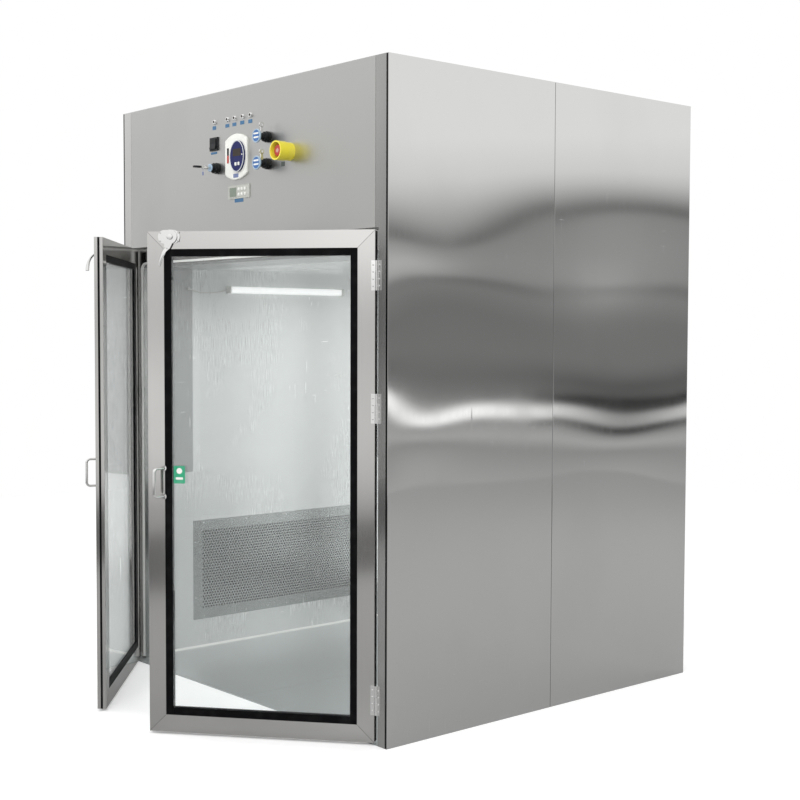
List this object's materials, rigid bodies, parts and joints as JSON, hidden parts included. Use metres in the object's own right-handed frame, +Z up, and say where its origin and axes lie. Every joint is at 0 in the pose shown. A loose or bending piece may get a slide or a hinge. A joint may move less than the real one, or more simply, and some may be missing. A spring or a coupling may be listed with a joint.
{
  "type": "walk-in cleanroom pass box",
  "caption": "Floor-standing stainless steel pass box with glazed double swing doors, turning latches, low return-air grilles and a control panel above the doors.",
  "frame": {"origin": "middle of the base at floor level", "axes": "+Z up, front doors face -Y, right side of someone facing the front is +X"},
  "size_m": [1.86, 2.3517, 2.5],
  "materials": {
    "panel_steel": "satin stainless sheet with fine upright grain",
    "lining_steel": "bright satin stainless lining",
    "floor_steel": "scuffed stainless floor sheet",
    "leaf_steel": "brushed stainless door frame",
    "fitting_steel": "polished stainless fittings",
    "white_gasket": "white silicone",
    "black_rubber": "black sealant and rubber",
    "clear_glass": "clear toughened glass, faint green edge",
    "lamp_plastic": "white diffuser",
    "white_plastic": "moulded white plastic",
    "blue_display": "dark blue window",
    "meter_plastic": "grey overlay",
    "indicator_chrome": "polished lamp bezels",
    "black_plastic": "black moulded plastic",
    "yellow_plastic": "yellow moulded plastic",
    "red_plastic": "red moulded plastic"
  },
  "bodies": {
    "cabinet": {"chamber_ceiling": "lining_steel", "controller": "white_plastic", "controller_display": "blue_display", "emergency_stop_button": "red_plastic", "emergency_stop_guard": "yellow_plastic", "floor_plate": "floor_steel", "front_door_gasket": "white_gasket", "front_fascia": "panel_steel", "front_header": "panel_steel", "front_hinge_plates": "fitting_steel", "front_post_left": "panel_steel", "front_post_right": "panel_steel", "front_stop_left": "panel_steel", "front_stop_right": "panel_steel", "indicator_lamps": "indicator_chrome", "key_selectors": "black_plastic", "lamp_leads": "white_gasket", "left_return_grille": "lining_steel", "left_side_panel_front": "panel_steel", "left_side_panel_rear": "panel_steel", "left_wall_lining": "lining_steel", "meter_panel": "meter_plastic", "power_key_switch": "black_plastic", "rear_door_gasket": "white_gasket", "rear_fascia": "panel_steel", "rear_handles": "fitting_steel", "rear_header": "panel_steel", "rear_hinges": "fitting_steel", "rear_latch_bases": "fitting_steel", "rear_latch_levers": "fitting_steel", "rear_leaf_frames": "leaf_steel", "rear_leaf_glass": "clear_glass", "rear_leaf_seals": "black_rubber", "rear_post_left": "panel_steel", "rear_post_right": "panel_steel", "rear_stop_left": "panel_steel", "rear_stop_right": "panel_steel", "right_return_grille": "lining_steel", "right_side_panel_front": "panel_steel", "right_side_panel_rear": "panel_steel", "right_wall_lining": "lining_steel", "rocker_switch": "black_plastic", "roof_panel": "panel_steel", "wall_lamps": "lamp_plastic"},
    "left_leaf": {"left_latch_base": "fitting_steel", "left_leaf_frame": "leaf_steel", "left_leaf_glass": "clear_glass", "left_leaf_handle": "fitting_steel", "left_leaf_hinges": "fitting_steel", "left_leaf_seals": "black_rubber"},
    "left_latch_lever": {"left_latch_lever": "fitting_steel"},
    "right_leaf": {"right_latch_base": "fitting_steel", "right_leaf_frame": "leaf_steel", "right_leaf_glass": "clear_glass", "right_leaf_handle": "fitting_steel", "right_leaf_hinges": "fitting_steel", "right_leaf_seals": "black_rubber"},
    "right_latch_lever": {"right_latch_lever": "fitting_steel"}
  },
  "joints": [
    {"name": "right_leaf_hinge", "type": "hinge", "parent": "cabinet", "child": "right_leaf", "pos_m": [0.872, -0.873, 0.9], "axis": [0, 0, 1], "range_deg": [-39, 70]},
    {"name": "left_leaf_hinge", "type": "hinge", "parent": "cabinet", "child": "left_leaf", "pos_m": [-0.872, -0.873, 0.9], "axis": [0, 0, -1], "range_deg": [-39.3, 70]},
    {"name": "right_latch_turn", "type": "hinge", "parent": "right_leaf", "child": "right_latch_lever", "pos_m": [0.26782, -1.35839, 1.86], "axis": [0.6293, -0.7771, 0], "range_deg": [0, 90]},
    {"name": "left_latch_turn", "type": "hinge", "parent": "left_leaf", "child": "left_latch_lever", "pos_m": [-0.27037, -1.36155, 1.86], "axis": [0.6334, 0.7738, 0], "range_deg": [0, 90]}
  ]
}
